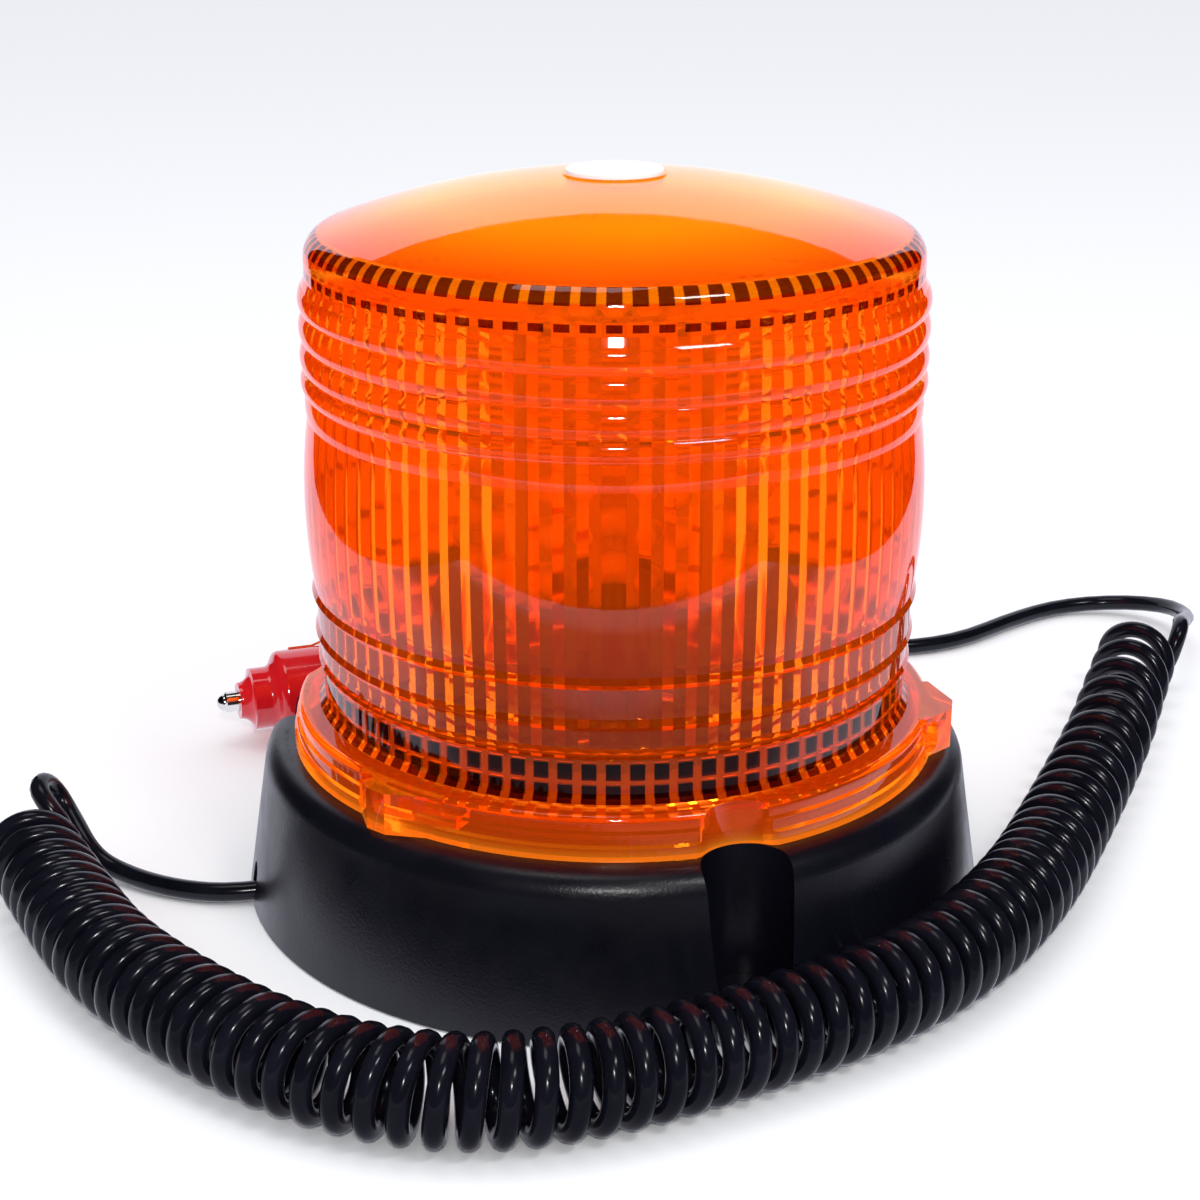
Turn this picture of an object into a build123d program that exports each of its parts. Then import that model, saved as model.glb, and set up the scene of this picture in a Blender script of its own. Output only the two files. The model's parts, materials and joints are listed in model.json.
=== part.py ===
from build123d import *
import math
import os

# LED warning beacon on a magnetic base, with a curly cord and a lighter plug.
# Millimetres. +Z is up, the origin is on the beacon's axis at the surface it stands on,
# and -Y is the front. An azimuth is measured from the front towards +X, in degrees.

# --- Overall sizes -------------------------------------------------------------------
base_radius = 74.5  # outer radius of the base at its foot
base_height = 31.6  # top face of the base above the floor
base_top_radius = 69.5  # outer radius of the base at its top face, before rounding
lens_radius = 60.0  # widest outer radius of the lens wall
lens_crown = 142.5  # highest point of the lens dome
lens_shoulder = 131.5  # height where the dome meets the wall, before rounding

# --- Clearances ----------------------------------------------------------------------
running_gap = 0.3  # between parts that move past or rest on each other
slip_gap = 0.05  # radial, between a screw or pin and its hole
seat_gap = 0.2  # radial, between a part and the recess that holds it

# --- Base housing --------------------------------------------------------------------
base_wall = 3.0
rim_lift = 0.5  # the rubber pad stands this far proud of the hard rim
shoulder_round = 5.0
base_opening_radius = 42.0
channel_count = 3
channel_azimuth = 20.4
channel_radius = 8.4
channel_centre_radius = 68.2
channel_wall = 2.6
channel_floor = 5.0
foot_hole_radius = 2.75
foot_hole_circle_radius = 68.0
notch_azimuth = -76.0
notch_width = 4.8
notch_top = 8.6

# --- Magnet and keeper ---------------------------------------------------------------
pad_floor = 2.0
pad_wall = 1.4
magnet_outer_radius = 50.0
magnet_inner_radius = 22.0
magnet_thickness = 8.0
keeper_thickness = 1.5
keeper_radius = 59.0
keeper_azimuth = 85.0
keeper_screw_radius = 1.75
keeper_head_radius = 2.9
keeper_head_height = 2.2
keeper_screw_length = 14.0
boss_wall = 2.2

# --- Chassis and bayonet -------------------------------------------------------------
chassis_thickness = 2.5
chassis_ring_radius = 55.0
chassis_ring_wall = 2.5
chassis_ring_height = 9.0
chassis_spigot_depth = 2.5
chassis_hole_radius = 9.0
chassis_screw_azimuth = 62.0
chassis_screw_circle = 47.5
chassis_screw_radius = 1.5
chassis_head_radius = 2.7
chassis_head_height = 1.8
chassis_screw_length = 10.0
lug_azimuth = 85.0
lug_span = 16.0  # degrees of arc that each bayonet lug covers
lug_thickness = 1.8
lug_reach = 4.4  # how far the chassis lugs stand out from its ring
stop_span = 2.4  # degrees of arc of the rib that ends the twist

# --- Lens ----------------------------------------------------------------------------
lens_neck_radius = 57.7  # outer wall radius just above the flange
lens_shoulder_radius = 58.3  # outer wall radius under the dome
lens_inner_radius = 56.0
flute_count = 84
flute_depth = 0.9
flute_bottom = 49.0
flute_top = 126.5
cell_rows = (40.6, 44.7)  # bottom of each row of window cells
cell_height = 3.1
cell_depth = 0.8
dome_wall = 3.4
dome_round = 5.0
rib_grooves = (98.0, 102.8, 107.0, 112.3, 118.0, 123.0)
rib_proud = 0.9
ring_edges = (49.8, 55.5, 63.4)  # three stepped rings low on the wall
ring_proud = 0.9
ring_slope = 1.2  # height over which a ring slopes out
ring_rise = 0.37  # the wall above each ring stands this much further out
belly_height = 84.5  # height of the wall's widest ring
flange_top = 40.2
flange_radius = 64.0
flange_wall = 3.2
flange_roof = 2.0
flange_band = 2.5  # height of each stepped band on the skirt
flange_step = 0.5
flange_round = 1.5
neck_run = 1.2  # width of the sloping foot between the flange and the wall
lens_lug_reach = 4.4
lens_lug_thickness = 2.0
tab_azimuth = -39.4
tab_radius = 67.6
tab_width = 4.5
tab_front_ramp = 6.0  # degrees of arc of the steep face beside each thumb pocket
tab_back_ramp = 8.5  # degrees of arc of the long face on the other side
pocket_offset = 6.4  # degrees from the tab to its thumb pocket
pocket_width = 3.2
pocket_height = 6.4
pocket_depth = 1.4
scallop_radius = 9.6
scallop_step = 0.6  # the skirt stands this far out over the back wall of its channel
scallop_round = 3.0  # where the scallop runs out into the skirt
scallop_wall = 1.8
disc_radius = 9.2
disc_thickness = 0.9
gasket_inner_radius = 56.2
gasket_thickness = 1.3

# --- Driver and cover ----------------------------------------------------------------
cover_radius = 23.5
cover_wall = 2.0
cover_top = 62.0
cover_flange_radius = 30.5
cover_flange_thickness = 2.0
cover_screw_circle = 27.0
cover_slot_count = 12
board_radius = 20.5
board_height = 40.0
board_thickness = 1.6
board_post_circle = 17.0
board_post_radius = 2.6
board_screw_radius = 1.2
small_head_radius = 2.1
small_head_height = 1.5

# --- Light tower ---------------------------------------------------------------------
core_flats = 26.0
core_height = 48.0
tower_bolt_radius = 2.0
tower_head_radius = 3.5
tower_head_height = 2.6
tower_nut_flats = 7.0
tower_nut_height = 3.2
side_board_width = 14.0
side_board_height = 46.0
led_radius = 2.5
led_height = 5.4
led_flange = 0.6
led_rows = 6
led_row_pitch = 7.4
led_column_pitch = 6.4
top_board_radius = 17.0
top_led_count = 12
top_led_circle = 12.8

# --- Cord ----------------------------------------------------------------------------
cord_radius = 2.0
coil_radius = 9.7
coil_lift = 9.8  # height of the coil's axis above the floor
lead_offset = 7.4  # a lead leaves the coil this far from the coil's axis
wire_radius = 0.75
wire_start = 0.9  # each wire leaves the cord this far from the cord's axis
wire_spread = 1.9
clamp_height = 20.0  # height of the cord's axis in its clamp
clamp_distance = 45.0
clamp_length = 15.0
clamp_width = 6.0
clamp_thickness = 1.9
clamp_screw_spread = 5.2
clamp_screw_radius = 1.25
clamp_rib = 2.4  # thickness of the rib that the cord is clamped against

# --- Plug ----------------------------------------------------------------------------
plug_tip_x = -92.0
plug_tip_y = 59.6
plug_turn = 20.0  # degrees from +X to the plug's axis, tip to rear
plug_radius = 10.5
plug_lift = 10.7  # height of the plug's axis above the floor
tip_length = 5.0  # contact pin beyond the nose
tip_radius = 2.4
tip_travel = 2.5
nose_radius = 7.2
nose_straight = 6.5
nose_length = 12.0
nose_wall = 1.8
thread_radius = 5.4
thread_length = 4.4
barrel_length = 49.0
barrel_wall = 2.0
barrel_rear_radius = 8.8
fuse_radius = 2.5
fuse_length = 20.0
fuse_cap_length = 5.0
spring_wire = 0.35
spring_radius = 2.1
spring_turns = 7
strip_width = 3.8
strip_thickness = 0.6
strip_length = 26.0
strip_start = 18.0  # distance of the strip's front end behind the pin's tip
strip_front = 5.6  # length of the flat in front of the bow
strip_rear = 7.0
strip_flat_proud = 0.3
strip_proud = 1.5
strip_travel = 1.3
strip_roll = 30.0  # degrees that the strips are rolled away from the vertical
strip_slot_depth = 10.0
boot_length = 22.0
boot_radius = 5.0
boot_tip_radius = 3.4
plug_screw_radius = 1.25
plug_screw_distance = 48.0
plug_screw_length = 13.5
plug_screw_seat = 7.5  # height of the seat under its head above the plug's axis

# --- Derived -------------------------------------------------------------------------
magnet_bottom = pad_floor
keeper_bottom = magnet_bottom + magnet_thickness
keeper_top = keeper_bottom + keeper_thickness
pad_radius = magnet_outer_radius + seat_gap + pad_wall
keeper_circle = pad_radius + running_gap + keeper_head_radius
boss_radius = keeper_screw_radius + boss_wall
ceiling = base_height - base_wall
chassis_top = base_height + chassis_thickness
lug_top = chassis_top + chassis_ring_height - chassis_thickness - 2.8
lug_bottom = lug_top - lug_thickness
lug_radius = chassis_ring_radius + lug_reach
skirt_bottom = base_height + running_gap
skirt_inner_radius = flange_radius - flange_wall
roof_bottom = flange_top - flange_roof
scallop_centre_radius = channel_centre_radius - channel_radius + scallop_step + scallop_radius
scallop_top = flange_top + 2.0
lens_lug_top = lug_bottom - running_gap
lens_lug_bottom = lens_lug_top - lens_lug_thickness
lens_lug_radius = skirt_inner_radius - lens_lug_reach
gasket_outer_radius = skirt_inner_radius - running_gap
core_bottom = cover_top
core_top = core_bottom + core_height
top_board_top = core_top + board_thickness
side_led_radius = core_flats / 2 + board_thickness
strut_turns = 360 / channel_count

os.makedirs("parts", exist_ok=True)


def polar(azimuth):
    """The angle from +X of an azimuth."""
    return azimuth - 90.0


def at_azimuth(radius, azimuth, height=0.0):
    """The point at a radius, an azimuth and a height."""
    turn = math.radians(azimuth)
    return Vector(radius * math.sin(turn), -radius * math.cos(turn), height)


def facing_out(radius, azimuth, height=0.0):
    """A plane whose normal points away from the axis, with its y upwards."""
    turn = math.radians(azimuth)
    return Plane(
        origin=at_azimuth(radius, azimuth, height),
        x_dir=(math.cos(turn), math.sin(turn), 0),
        z_dir=(math.sin(turn), -math.cos(turn), 0),
    )


def sector(inner, outer, azimuth, span):
    """A closed wire: a piece of a ring, centred on an azimuth."""
    start = polar(azimuth) - span / 2
    with BuildLine() as outline:
        far = CenterArc((0, 0), outer, start, span)
        near = CenterArc((0, 0), inner, start, span)
        Line(far @ 0, near @ 0)
        Line(far @ 1, near @ 1)
    return outline.line


def screw(radius, length, head_radius, head_height, slot=True):
    """A pan-head screw: head above the local origin, shank along -Z."""
    with BuildPart() as made:
        with BuildSketch():
            Circle(head_radius)
        extrude(amount=head_height)
        fillet(made.faces().sort_by(Axis.Z)[-1].edges(), 0.35 * head_height)
        with BuildSketch():
            Circle(radius)
        extrude(amount=-length)
        chamfer(made.faces().sort_by(Axis.Z)[0].edges(), 0.35 * radius)
        if slot:
            with BuildSketch(Plane.XY.offset(head_height)):
                Rectangle(1.3 * head_radius, 0.28 * head_radius)
                Rectangle(0.28 * head_radius, 1.3 * head_radius)
            extrude(amount=-0.45 * head_height, mode=Mode.SUBTRACT)
    return made.part


def corner_radii(points):
    """For each corner of a route, the radius that takes 0.45 of its shorter run."""
    radii = []
    for before, here, after in zip(points, points[1:], points[2:]):
        arriving = Vector(*here) - Vector(*before)
        leaving = Vector(*after) - Vector(*here)
        half_turn = math.radians(arriving.get_angle(leaving)) / 2
        shorter = min(arriving.length, leaving.length)
        radii.append(0.45 * shorter / math.tan(half_turn))
    return radii


def tube(points, radius, name):
    """A round tube along straight runs joined by tangent arcs."""
    radii = corner_radii(points)
    with BuildPart() as made:
        with BuildLine() as route:
            FilletPolyline(*points, radius=radii)
        path = route.wires()[0]
        start = Vector(*points[0])
        with BuildSketch(Plane(origin=start, z_dir=Vector(*points[1]) - start)):
            Circle(radius)
        sweep(path=path)
    expected = math.pi * radius**2 * path.length
    print(name, "length", round(path.length, 1), "volume / section x length",
          round(made.part.volume / expected, 4))
    print(name, "bend radii", [round(bend, 1) for bend in radii])
    return made.part


def write(made, name):
    """Labels a finished piece and writes its STEP file."""
    made.label = name
    export_step(made, f"parts/{name}.step")


# --- Base housing --------------------------------------------------------------------
def taper_radius(height):
    """Outer radius of the base's tapered side at a height."""
    return base_radius - (base_radius - base_top_radius) * height / base_height


# The hollow under the base leaves the channel walls and the screw bosses standing.
with BuildPart() as base_cavity:
    with BuildSketch(Plane.XZ):
        Polygon(
            (0, rim_lift),
            (taper_radius(rim_lift) - base_wall, rim_lift),
            (taper_radius(ceiling) - base_wall - 1.5, ceiling),
            (0, ceiling),
            align=None,
        )
    revolve(axis=Axis.Z)
    with BuildSketch(Plane.XY.offset(rim_lift)):
        with PolarLocations(channel_centre_radius, channel_count, polar(channel_azimuth)):
            Circle(channel_radius + channel_wall)
    extrude(amount=ceiling, mode=Mode.SUBTRACT)
    with BuildSketch(Plane.XY.offset(keeper_top)):
        with PolarLocations(keeper_circle, channel_count, polar(keeper_azimuth)):
            Circle(boss_radius)
    extrude(amount=ceiling, mode=Mode.SUBTRACT)
    with BuildSketch(Plane.XY.offset(base_height - chassis_screw_length - 1.5)):
        with PolarLocations(chassis_screw_circle, channel_count, polar(chassis_screw_azimuth)):
            Circle(chassis_screw_radius + boss_wall)
    extrude(amount=ceiling, mode=Mode.SUBTRACT)
    clamp_seat = facing_out(clamp_distance, notch_azimuth, clamp_height + cord_radius)
    with BuildSketch(Plane(origin=clamp_seat.origin, x_dir=clamp_seat.x_dir, z_dir=(0, 0, 1))):
        with Locations((clamp_screw_spread, 0), (-clamp_screw_spread, 0)):
            Circle(clamp_screw_radius + 1.2)
        Rectangle(2 * clamp_screw_spread, clamp_rib)
    extrude(amount=ceiling, mode=Mode.SUBTRACT)

with BuildPart() as base_housing:
    with BuildSketch(Plane.XZ):
        Polygon(
            (0, rim_lift),
            (taper_radius(rim_lift), rim_lift),
            (base_top_radius, base_height),
            (0, base_height),
            align=None,
        )
    revolve(axis=Axis.Z)
    fillet(base_housing.faces().sort_by(Axis.Z)[-1].edges(), shoulder_round)
    add(base_cavity.part, mode=Mode.SUBTRACT)
    with BuildSketch(Plane.XY.offset(channel_floor)):
        with PolarLocations(channel_centre_radius, channel_count, polar(channel_azimuth)):
            Circle(channel_radius)
    extrude(amount=base_height, mode=Mode.SUBTRACT)
    with BuildSketch(Plane.XY.offset(rim_lift)):
        with PolarLocations(foot_hole_circle_radius, channel_count, polar(channel_azimuth)):
            Circle(foot_hole_radius)
    extrude(amount=channel_floor, mode=Mode.SUBTRACT)
    with BuildSketch(Plane.XY.offset(ceiling)):
        Circle(base_opening_radius)
    extrude(amount=base_wall, mode=Mode.SUBTRACT)
    with BuildSketch(Plane.XY.offset(keeper_top)):
        with PolarLocations(keeper_circle, channel_count, polar(keeper_azimuth)):
            Circle(keeper_screw_radius + slip_gap)
    extrude(amount=keeper_screw_length, mode=Mode.SUBTRACT)
    with BuildSketch(Plane.XY.offset(base_height)):
        with PolarLocations(chassis_screw_circle, channel_count, polar(chassis_screw_azimuth)):
            Circle(chassis_screw_radius + slip_gap)
    extrude(amount=-chassis_screw_length, mode=Mode.SUBTRACT)
    with BuildSketch(Plane(origin=clamp_seat.origin, x_dir=clamp_seat.x_dir, z_dir=(0, 0, 1))):
        with Locations((clamp_screw_spread, 0), (-clamp_screw_spread, 0)):
            Circle(clamp_screw_radius + slip_gap)
    extrude(amount=ceiling - clamp_height - cord_radius, mode=Mode.SUBTRACT)
    with BuildSketch(facing_out(base_radius + 1, notch_azimuth)):
        with Locations((0, notch_top - notch_width / 2)):
            Circle(notch_width / 2)
        with Locations((0, (notch_top - notch_width / 2) / 2)):
            Rectangle(notch_width, notch_top - notch_width / 2)
    extrude(amount=-(base_wall + 5), mode=Mode.SUBTRACT)
write(base_housing.part, "base_housing")

# --- Rubber pad, magnet, keeper ------------------------------------------------------
with BuildPart() as rubber_pad:
    with BuildSketch():
        Circle(pad_radius)
        Circle(magnet_inner_radius, mode=Mode.SUBTRACT)
    extrude(amount=pad_floor)
    with BuildSketch(Plane.XY.offset(pad_floor)):
        Circle(pad_radius)
        Circle(pad_radius - pad_wall, mode=Mode.SUBTRACT)
    extrude(amount=magnet_thickness)
    chamfer(rubber_pad.edges().group_by(Axis.Z)[0].sort_by(SortBy.RADIUS)[-1], 0.6)
write(rubber_pad.part, "rubber_pad")

with BuildPart() as magnet_ring:
    with BuildSketch(Plane.XY.offset(magnet_bottom)):
        Circle(magnet_outer_radius)
        Circle(magnet_inner_radius, mode=Mode.SUBTRACT)
    extrude(amount=magnet_thickness)
    chamfer(magnet_ring.edges(), 0.5)
write(magnet_ring.part, "magnet_ring")

with BuildPart() as keeper_plate:
    with BuildSketch(Plane.XY.offset(keeper_bottom)):
        Circle(keeper_radius)
        Circle(chassis_hole_radius, mode=Mode.SUBTRACT)
        with PolarLocations(keeper_circle, channel_count, polar(keeper_azimuth)):
            Circle(keeper_screw_radius + slip_gap, mode=Mode.SUBTRACT)
        with PolarLocations(channel_centre_radius, channel_count, polar(channel_azimuth)):
            Circle(channel_radius + channel_wall + running_gap, mode=Mode.SUBTRACT)
    extrude(amount=keeper_thickness)
write(keeper_plate.part, "keeper_plate")

keeper_screw = screw(keeper_screw_radius, keeper_screw_length, keeper_head_radius, keeper_head_height)
with BuildPart() as keeper_screws:
    with PolarLocations(keeper_circle, channel_count, polar(keeper_azimuth)):
        add(keeper_screw.rotate(Axis.X, 180).translate((0, 0, keeper_bottom)))
write(keeper_screws.part, "keeper_screws")

# --- Chassis -------------------------------------------------------------------------
ring_top = base_height + chassis_ring_height
with BuildPart() as chassis:
    with BuildSketch(Plane.XY.offset(base_height)):
        Circle(chassis_ring_radius)
    extrude(amount=chassis_thickness)
    with BuildSketch(Plane.XY.offset(chassis_top)):
        Circle(chassis_ring_radius)
        Circle(chassis_ring_radius - chassis_ring_wall, mode=Mode.SUBTRACT)
    extrude(amount=ring_top - chassis_top)
    with BuildSketch(Plane.XY.offset(base_height)):
        Circle(base_opening_radius - seat_gap)
        Circle(base_opening_radius - seat_gap - chassis_ring_wall, mode=Mode.SUBTRACT)
    extrude(amount=-chassis_spigot_depth)
    with BuildSketch(Plane.XY.offset(lug_bottom)):
        for index in range(channel_count):
            turn = lug_azimuth + index * strut_turns
            make_face(sector(chassis_ring_radius - 1, lug_radius, turn, lug_span))
    extrude(amount=lug_thickness)
    # A rib under the trailing end of each lug ends the twist.
    with BuildSketch(Plane.XY.offset(gasket_thickness + base_height + running_gap)):
        for index in range(channel_count):
            turn = lug_azimuth + index * strut_turns - (lug_span + stop_span) / 2 - running_gap
            make_face(sector(chassis_ring_radius - 1, lug_radius, turn, stop_span))
    extrude(amount=lug_top - gasket_thickness - base_height - running_gap)
    with BuildSketch(Plane.XY.offset(chassis_top)):
        with PolarLocations(board_post_circle, 3, polar(chassis_screw_azimuth)):
            Circle(board_post_radius)
    extrude(amount=board_height - chassis_top)
    with BuildSketch(Plane.XY.offset(board_height)):
        with PolarLocations(board_post_circle, 3, polar(chassis_screw_azimuth)):
            Circle(board_screw_radius + slip_gap)
    extrude(amount=-5.5, mode=Mode.SUBTRACT)
    with BuildSketch(Plane.XY.offset(chassis_top)):
        with PolarLocations(chassis_screw_circle, channel_count, polar(chassis_screw_azimuth)):
            Circle(chassis_screw_radius + slip_gap)
        with PolarLocations(cover_screw_circle, 3, polar(keeper_azimuth)):
            Circle(board_screw_radius + slip_gap)
        Circle(chassis_hole_radius)
    extrude(amount=-chassis_thickness, mode=Mode.SUBTRACT)
write(chassis.part, "chassis")

chassis_screw = screw(chassis_screw_radius, chassis_screw_length + chassis_thickness - 1,
                      chassis_head_radius, chassis_head_height)
with BuildPart() as chassis_screws:
    with PolarLocations(chassis_screw_circle, channel_count, polar(chassis_screw_azimuth)):
        add(chassis_screw.translate((0, 0, chassis_top)))
write(chassis_screws.part, "chassis_screws")

with BuildPart() as lens_gasket:
    with BuildSketch(Plane.XY.offset(base_height)):
        Circle(gasket_outer_radius - scallop_wall - 1)
        Circle(gasket_inner_radius, mode=Mode.SUBTRACT)
    extrude(amount=gasket_thickness)
write(lens_gasket.part, "lens_gasket")

# --- Lens ----------------------------------------------------------------------------
dome_height = lens_crown - lens_shoulder
dome_sphere = (lens_shoulder_radius**2 + dome_height**2) / (2 * dome_height)
dome_centre = lens_crown - dome_sphere


def rib_profile():
    """The ribs' outline from the lowest groove up: one bulge between each two grooves."""
    groove_radius = lens_radius - rib_proud - 0.3
    for low, high in zip(rib_grooves, rib_grooves[1:]):
        proud = rib_proud * (0.35 if low == rib_grooves[0] else 1.0)
        ThreePointArc(
            (groove_radius, low), (groove_radius + proud, (low + high) / 2), (groove_radius, high)
        )
    return groove_radius


def ring_profile():
    """The low rings' outline: each slopes out to an edge and steps back to the wall."""
    points = []
    for index, edge in enumerate(ring_edges):
        before = lens_neck_radius + ring_rise * index
        points.append((before, edge - ring_slope))
        points.append((before + ring_proud, edge))
        points.append((before + ring_rise, edge + ring_slope))
    return points[1:]


def is_mouth(corner):
    """Whether a corner lies where a scallop's circle crosses the skirt's."""
    return abs(math.hypot(corner.X, corner.Y) - flange_radius - slip_gap) < slip_gap


with BuildPart() as lens:
    with BuildSketch(Plane.XZ):
        with BuildLine():
            groove_radius = rib_profile()
            Line((groove_radius, rib_grooves[-1]), (lens_shoulder_radius, rib_grooves[-1] + 1.5))
            Line((lens_shoulder_radius, rib_grooves[-1] + 1.5), (lens_shoulder_radius, lens_shoulder))
            ThreePointArc(
                (lens_shoulder_radius, lens_shoulder),
                (
                    lens_shoulder_radius / 2,
                    dome_centre + math.sqrt(dome_sphere**2 - lens_shoulder_radius**2 / 4),
                ),
                (0, lens_crown),
            )
            Line((0, lens_crown), (0, skirt_bottom))
            Polyline(
                (0, skirt_bottom),
                (flange_radius, skirt_bottom),
                (flange_radius, skirt_bottom + flange_band),
                (flange_radius - flange_step, skirt_bottom + flange_band + flange_step),
                (flange_radius - flange_step, skirt_bottom + 2 * flange_band),
                (flange_radius - 2 * flange_step, skirt_bottom + 2 * flange_band + flange_step),
                (flange_radius - 2 * flange_step, flange_top - flange_round),
            )
            RadiusArc(
                (flange_radius - 2 * flange_step, flange_top - flange_round),
                (flange_radius - 2 * flange_step - flange_round, flange_top),
                -flange_round,
            )
            Polyline(
                (flange_radius - 2 * flange_step - flange_round, flange_top),
                (lens_neck_radius + neck_run, flange_top + 0.3 * neck_run),
                (lens_neck_radius, flange_top + 1.6 * neck_run),
                (lens_neck_radius, ring_edges[0] - ring_slope),
                *ring_profile(),
            )
            ThreePointArc(
                (lens_neck_radius + ring_rise * len(ring_edges), ring_edges[-1] + ring_slope),
                (lens_radius, belly_height),
                (groove_radius, rib_grooves[0]),
            )
        make_face()
    revolve(axis=Axis.Z)
    fillet(
        lens.edges().filter_by(GeomType.CIRCLE).filter_by_position(
            Axis.Z, lens_shoulder - 0.01, lens_shoulder + 0.01
        ),
        dome_round,
    )
    # Flat seat for the disc on the crown.
    with BuildSketch(Plane.XY.offset(lens_crown - 1.0)):
        Circle(disc_radius + 0.6)
    extrude(amount=1.0)
    # Scallops in the skirt above the bolt channels, rounded where they meet it.
    with BuildSketch(Plane.XY.offset(skirt_bottom)) as scallops:
        Circle(flange_radius + scallop_radius)
        Circle(flange_radius + slip_gap, mode=Mode.SUBTRACT)
        with PolarLocations(scallop_centre_radius, channel_count, polar(channel_azimuth)):
            Circle(scallop_radius)
        mouths = [corner for corner in scallops.vertices() if is_mouth(corner)]
        fillet(mouths, scallop_round)
    extrude(amount=scallop_top - skirt_bottom, mode=Mode.SUBTRACT)
    # Thumb tabs: a short crest between a steep face and a long one.
    with BuildSketch(Plane.XY.offset(skirt_bottom + running_gap)):
        for index in range(channel_count):
            turn = tab_azimuth + index * strut_turns
            edge = math.degrees(tab_width / tab_radius) / 2
            with BuildLine():
                Polyline(
                    at_azimuth(flange_radius - flange_wall + 1, turn - edge - tab_front_ramp),
                    at_azimuth(flange_radius - flange_step, turn - edge - tab_front_ramp),
                    at_azimuth(tab_radius, turn - edge),
                    at_azimuth(tab_radius, turn + edge),
                    at_azimuth(flange_radius - flange_step, turn + edge + tab_back_ramp),
                    at_azimuth(flange_radius - flange_wall + 1, turn + edge + tab_back_ramp),
                    close=True,
                )
            make_face()
    extrude(amount=flange_top - skirt_bottom - running_gap)
    for index in range(channel_count):
        turn = tab_azimuth - pocket_offset + index * strut_turns
        with BuildSketch(facing_out(tab_radius + 1, turn, (skirt_bottom + flange_top) / 2)):
            SlotOverall(pocket_height, pocket_width, rotation=90)
        extrude(amount=-(tab_radius + 1 - flange_radius + pocket_depth), mode=Mode.SUBTRACT)
    # Hollow of the skirt, which leaves a wall behind each scallop and the three lugs.
    with BuildSketch(Plane.XY.offset(skirt_bottom)) as skirt_hollow:
        Circle(skirt_inner_radius)
        with PolarLocations(scallop_centre_radius, channel_count, polar(channel_azimuth)):
            Circle(scallop_radius + scallop_wall, mode=Mode.SUBTRACT)
    extrude(amount=roof_bottom - skirt_bottom, mode=Mode.SUBTRACT)
    with BuildSketch(Plane.XY.offset(lens_lug_bottom)):
        for index in range(channel_count):
            turn = lug_azimuth + index * strut_turns
            make_face(sector(lens_lug_radius, skirt_inner_radius + 1, turn, lug_span))
    extrude(amount=lens_lug_thickness)
    # Plain bore from the skirt up to the flutes, then the fluted bore.
    with BuildSketch(Plane.XY.offset(roof_bottom)):
        Circle(lens_inner_radius)
    extrude(amount=flute_bottom - roof_bottom, mode=Mode.SUBTRACT)
    with BuildSketch(Plane.XY.offset(flute_bottom)):
        with BuildLine():
            flute_points = []
            for index in range(2 * flute_count):
                reach = lens_inner_radius - (flute_depth if index % 2 else 0)
                flute_points.append(at_azimuth(reach, index * 180 / flute_count))
            Polyline(*flute_points, close=True)
        make_face()
    extrude(amount=flute_top - flute_bottom, mode=Mode.SUBTRACT)
    # Two rows of window cells in the bore's wall.
    for row_bottom in cell_rows:
        with BuildSketch(Plane.XY.offset(row_bottom)):
            for index in range(flute_count):
                turn = index * 360 / flute_count
                make_face(
                    sector(
                        lens_inner_radius - 0.5,
                        lens_inner_radius + cell_depth,
                        turn,
                        0.62 * 360 / flute_count,
                    )
                )
        extrude(amount=cell_height, mode=Mode.SUBTRACT)
    # Inside of the dome.
    inner_sphere = dome_sphere - dome_wall
    inner_radius = lens_inner_radius - flute_depth - 0.2
    with BuildSketch(Plane.XZ):
        with BuildLine():
            Line((0, flute_top - 1), (inner_radius, flute_top - 1))
            Line(
                (inner_radius, flute_top - 1),
                (inner_radius, dome_centre + math.sqrt(inner_sphere**2 - inner_radius**2)),
            )
            ThreePointArc(
                (inner_radius, dome_centre + math.sqrt(inner_sphere**2 - inner_radius**2)),
                (inner_radius / 2, dome_centre + math.sqrt(inner_sphere**2 - inner_radius**2 / 4)),
                (0, dome_centre + inner_sphere),
            )
            Line((0, dome_centre + inner_sphere), (0, flute_top - 1))
        make_face()
    revolve(axis=Axis.Z, mode=Mode.SUBTRACT)
write(lens.part, "lens")

with BuildPart() as top_disc:
    with BuildSketch(Plane.XY.offset(lens_crown)):
        Circle(disc_radius)
    extrude(amount=disc_thickness)
    fillet(top_disc.faces().sort_by(Axis.Z)[-1].edges(), 0.4)
write(top_disc.part, "top_disc")

# --- Driver, its parts and its cover -------------------------------------------------
board_top = board_height + board_thickness

with BuildPart() as driver_board:
    with BuildSketch(Plane.XY.offset(board_height)):
        Circle(board_radius)
        with PolarLocations(board_post_circle, 3, polar(chassis_screw_azimuth)):
            Circle(board_screw_radius + slip_gap, mode=Mode.SUBTRACT)
    extrude(amount=board_thickness)
write(driver_board.part, "driver_board")

board_screw = screw(board_screw_radius, board_thickness + 5.0, small_head_radius, small_head_height)
with BuildPart() as board_screws:
    with PolarLocations(board_post_circle, 3, polar(chassis_screw_azimuth)):
        add(board_screw.translate((0, 0, board_top)))
write(board_screws.part, "board_screws")

block_height = board_height - chassis_top - 0.7
with BuildPart() as terminal_block:
    with BuildSketch(Plane.XY.offset(board_height)):
        Rectangle(10.0, 6.6)
    extrude(amount=-block_height)
    chamfer(terminal_block.edges().filter_by(Axis.Z), 0.6)
write(terminal_block.part, "terminal_block")

with BuildPart() as capacitors:
    with BuildSketch(Plane.XY.offset(board_top)):
        with Locations((-9.0, 7.0), (9.5, 7.0)):
            Circle(5.0)
    extrude(amount=14.0)
    fillet(capacitors.edges().group_by(Axis.Z)[-1], 0.6)
write(capacitors.part, "capacitors")

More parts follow.
